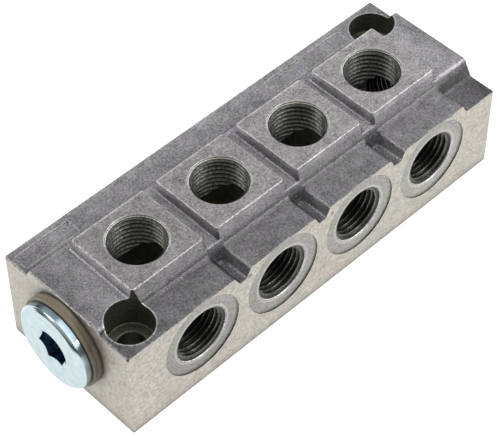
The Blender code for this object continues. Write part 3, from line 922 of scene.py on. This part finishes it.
# The collar plug
# A turned steel plug, zinc plated, that closes the channel's left end with a collar and a hexagon socket.
# Its threaded shank screws into the inlet, and the ring is clamped under its collar.

COLLAR_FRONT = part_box("screw_plug")[0].x
COLLAR_BACK = COLLAR_FRONT + 2.3 * MM
SHANK_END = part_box("screw_plug")[1].x
NEST_GAP = 0.12 * MM
COLLAR_STEPS = 128
SHANK_STEPS = 64
HAIR = 0.001 * MM
screw_in = Matrix.Translation((0, 0, CHANNEL_HEIGHT)) @ Matrix.Rotation(-math.pi / 2, 4, "Y")

collar_profile = [
    (0.0, -COLLAR_FRONT),
    (10.15 * MM, -COLLAR_FRONT),
    (10.35 * MM, -COLLAR_FRONT - 0.03 * MM),
    (10.9 * MM, -COLLAR_FRONT - 0.5 * MM),
    (11.0 * MM, -COLLAR_FRONT - 0.68 * MM),
    (11.0 * MM, -COLLAR_BACK + 0.15 * MM),
    (10.85 * MM, -COLLAR_BACK),
    (7.3 * MM, -COLLAR_BACK),
    (7.3 * MM, -SHANK_END + MM),
    (7.0 * MM, -SHANK_END),
    (0.0, -SHANK_END),
]
plug = turned("plug", collar_profile, COLLAR_STEPS)
# The threaded part ends a hair past the plain one, so that no two faces share a plane
shank_profile = [
    (0.0, -SHANK_END - HAIR),
    (7.2 * MM, -SHANK_END - HAIR),
    (8.25 * MM, -SHANK_END + 1.1 * MM),
    (8.25 * MM, -COLLAR_BACK - 3.4 * MM),
    (7.2 * MM, -COLLAR_BACK - 2.4 * MM),
    (0.0, -COLLAR_BACK - 2.4 * MM),
]
shank = turned("shank", shank_profile, SHANK_STEPS, start=0.031)
shank_root = INLET_ROOT - 2 * NEST_GAP
shank_crest = INLET_CREST - 2 * NEST_GAP
shank_thread = thread_tool("shank_thread", shank_root, shank_crest, inlet_length)
carry(shank_thread, screw_in.inverted() @ to_left)
combine(shank, [shank_thread], "INTERSECT")
SOCKET_WIDTH = 8 * MM
SOCKET_DEPTH = 5 * MM
SOCKET_TURN = math.radians(38)
hexagon = turned(
    "hexagon",
    [
        (0.0, -COLLAR_FRONT + MM),
        (SOCKET_WIDTH / math.sqrt(3), -COLLAR_FRONT + MM),
        (SOCKET_WIDTH / math.sqrt(3), -COLLAR_FRONT - SOCKET_DEPTH),
        (0.0, -COLLAR_FRONT - SOCKET_DEPTH),
    ],
    6,
    start=SOCKET_TURN,
)
countersink = turned(
    "countersink",
    [
        (0.0, -COLLAR_FRONT + MM),
        (6.7 * MM, -COLLAR_FRONT + MM),
        (4.95 * MM, -COLLAR_FRONT),
        (3.4 * MM, -COLLAR_FRONT - 0.9 * MM),
        (3.4 * MM, -COLLAR_FRONT - SOCKET_DEPTH + 0.1 * MM),
        (0.0, -COLLAR_FRONT - SOCKET_DEPTH - 1.6 * MM),
    ],
    COLLAR_STEPS,
    start=0.013,
)
combine(plug, [shank], "UNION")
combine(plug, [hexagon, countersink])


def plated_finish():
    """Bright zinc with a faint blue cast, rings left by the lathe and a few dull specks."""
    material, tree, surface = new_finish("zinc_plate", 1.0)
    x, y, z = position(tree)
    distance = axis_distance(tree, y, calc(tree, "SUBTRACT", z, CHANNEL_HEIGHT))
    look = {"Distance": distance, "Ring Width": 0.2 * MM, "Detail": 3.0}
    rings = put(tree, "ShaderNodeGroup", look, node_tree=cutter_rings).outputs["Ring"]
    patches = {"Grain Size": 0.5 * MM, "Stain Size": 2 * MM}
    grain = put(tree, "ShaderNodeGroup", patches, node_tree=metal_grain).outputs
    marks = product(tree, between(tree, rings, 0.3, 0.7), 0.4)
    shade = calc(tree, "ADD", marks, product(tree, grain["Stain"], 0.6))
    plate = tinted(tree, shade, (0.32, 0.45, 0.50), (0.58, 0.65, 0.64))
    plate = tinted(tree, product(tree, grain["Speck"], 0.5), plate, (0.28, 0.36, 0.40))
    # Painted shade darkens the socket towards its floor, with a blue cast
    socket_shade = between(tree, x, COLLAR_FRONT + 0.5 * MM, COLLAR_FRONT + 2.5 * MM, 0.0, 0.85)
    plate = tinted(tree, socket_shade, plate, (0.15, 0.23, 0.33))
    tree.links.new(plate, surface.inputs["Base Color"])
    tree.links.new(between(tree, grain["Stain"], 0.0, 1.0, 0.1, 0.22), surface.inputs["Roughness"])
    tree.links.new(rounded_normal(tree, 0.12 * MM, rings, 0.006 * MM), surface.inputs["Normal"])
    return material


plug.data.materials.append(plated_finish())
collar_plug = finished(plug, "collar_plug", [shank, shank_thread, hexagon, countersink], 28)
carry(collar_plug, screw_in)
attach(collar_plug, "root")
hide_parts("screw_plug")

# The sealing ring
# A moulded ring of khaki plastic with two soft beads round its rim and a shallow groove between them.
# It is squeezed between the plug's collar and the block's end, and stands a little proud of the collar.

ring_low, ring_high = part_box("sealing_ring")
ring_front = ring_low.x - 0.2 * MM
ring_back = ring_high.x + 0.25 * MM
ring_radius = ring_high.y
bore_radius = 8.7 * MM


def ring_profile():
    """The ring's section: flat sides, two rounded beads outside, and a plain bore."""
    width = ring_back - ring_front
    bead = width * 0.25
    bulge = bead * 0.28
    points = []
    for middle in (bead, width - bead):
        for degrees in range(-80, 81, 20):
            swing = math.radians(degrees)
            points.append((ring_radius - bulge * (1 - math.cos(swing)), middle + bead * math.sin(swing)))
    points += [(bore_radius, width), (bore_radius, 0.0)]
    return [(radius, -(ring_front + along)) for radius, along in points]


def plastic_finish():
    """Khaki moulded plastic, a little paler where rubbed, with painted shade in its groove and painted
    shade darkening it low down.
    """
    material, tree, surface = new_finish("khaki_plastic", 0.0)
    patches = {"Grain Size": 0.4 * MM, "Stain Size": 2 * MM}
    grain = put(tree, "ShaderNodeGroup", patches, node_tree=metal_grain).outputs
    widths = {"Edge Width": 0.3 * MM, "Crease Width": 0.5 * MM}
    wear_and_shade = put(tree, "ShaderNodeGroup", widths, node_tree=wear_and_crease_shade).outputs
    colour = tinted(tree, grain["Stain"], (0.15, 0.125, 0.08), (0.22, 0.185, 0.125))
    colour = tinted(tree, product(tree, wear_and_shade["Edge"], 0.6), colour, (0.36, 0.33, 0.26))
    # Painted shade in the groove and where the ring meets the collar and the block
    colour = tinted(tree, product(tree, wear_and_shade["Crease"], 0.5), colour, (0.10, 0.085, 0.06))
    # Painted shade darkens the ring towards the bottom
    low = CHANNEL_HEIGHT - 3 * MM
    high = CHANNEL_HEIGHT + 9 * MM
    colour = dimmed(tree, colour, between(tree, position(tree)[2], low, high, 0.5, 0.95))
    tree.links.new(colour, surface.inputs["Base Color"])
    tree.links.new(between(tree, grain["Grain"], 0.0, 1.0, 0.42, 0.55), surface.inputs["Roughness"])
    tree.links.new(rounded_normal(tree, 0.1 * MM, grain["Grain"], 0.01 * MM), surface.inputs["Normal"])
    return material


ring = turned("ring", ring_profile(), COLLAR_STEPS, closed=True)
ring.data.materials.append(plastic_finish())
seal_ring = finished(ring, "seal_ring", [], 40)
carry(seal_ring, screw_in)
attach(seal_ring, "root")
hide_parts("sealing_ring")

# The table and the studio
# A bright white table, lit through from below, so that the sides of the block face a field of light.
# The sky is dark near the horizon and brighter above. Five soft boxes stand over the block and at its left,
# front, right and back, and pick out the edges of the pads.

table_mesh = bpy.data.meshes.new("table")
TABLE_REACH = 4.0
corners = [(x, y, 0) for x, y in ((-1, -1), (1, -1), (1, 1), (-1, 1))]
corners = [tuple(TABLE_REACH * value for value in corner) for corner in corners]
table_mesh.from_pydata(corners, [], [(0, 1, 2, 3)])
table = linked("table", table_mesh)
white, _, white_surface = new_finish("white_table", 0.0, 0.8)
white_surface.inputs["Base Color"].default_value = (0.5, 0.5, 0.5, 1.0)
white_surface.inputs["Emission Color"].default_value = (1.0, 1.0, 1.0, 1.0)
white_surface.inputs["Emission Strength"].default_value = 0.92
table_mesh.materials.append(white)

sky = bpy.data.worlds.new("sky")
sky.use_nodes = True
sky_tree = sky.node_tree
background = sky_tree.nodes["Background"]
background.inputs["Color"].default_value = (0.97, 0.98, 1.0, 1.0)
direction = put(sky_tree, "ShaderNodeTexCoord").outputs["Generated"]
height = put(sky_tree, "ShaderNodeSeparateXYZ", {0: direction}).outputs["Z"]
sky_tree.links.new(between(sky_tree, height, 0.15, 0.5, 0.08, 0.6), background.inputs["Strength"])
bpy.context.scene.world = sky
bpy.context.scene.view_settings.view_transform = "Standard"


def soft_light(name, place, size, power):
    """A square soft box that faces the block."""
    data = bpy.data.lights.new(name, "AREA")
    data.shape = "SQUARE"
    data.size = size
    data.energy = power
    light = linked(name, data)
    light.location = place
    toward_block = Vector((0, 0, CHANNEL_HEIGHT)) - Vector(place)
    light.rotation_euler = toward_block.to_track_quat("-Z", "Y").to_euler()


soft_light("top_light", (0.45, -0.30, 0.84), 0.90, 3.6)
soft_light("left_light", (-0.58, 0.47, 0.66), 0.40, 2.2)
soft_light("front_light", (0.45, -0.75, 0.48), 0.30, 2.4)
soft_light("right_light", (1.0, -0.05, 0.12), 0.35, 1.5)
soft_light("back_light", (-0.09, 1.0, 0.12), 0.35, 1.5)

VIEW_AZIMUTH = math.radians(-43.95)
VIEW_HEIGHT = math.radians(49.24)
VIEW_ROLL = math.radians(-0.39)
VIEW_TARGET = Vector((-5.72 * MM, -2.25 * MM, 15.0 * MM))
VIEW_DISTANCE = 435.63 * MM
toward = Vector(
    (
        math.cos(VIEW_HEIGHT) * math.sin(VIEW_AZIMUTH),
        -math.cos(VIEW_HEIGHT) * math.cos(VIEW_AZIMUTH),
        math.sin(VIEW_HEIGHT),
    )
)
rightward = Vector((math.cos(VIEW_AZIMUTH), math.sin(VIEW_AZIMUTH), 0.0))
stand = Matrix((rightward, toward.cross(rightward), toward)).transposed()
stand = stand @ Matrix.Rotation(VIEW_ROLL, 3, "Z")
lens = bpy.data.cameras.new("camera")
lens.lens = 135.39
lens.sensor_width = 36.0
lens.clip_start = 0.01
camera = linked("camera", lens)
camera.matrix_world = Matrix.Translation(VIEW_TARGET + toward * VIEW_DISTANCE) @ stand.to_4x4()
bpy.context.scene.camera = camera
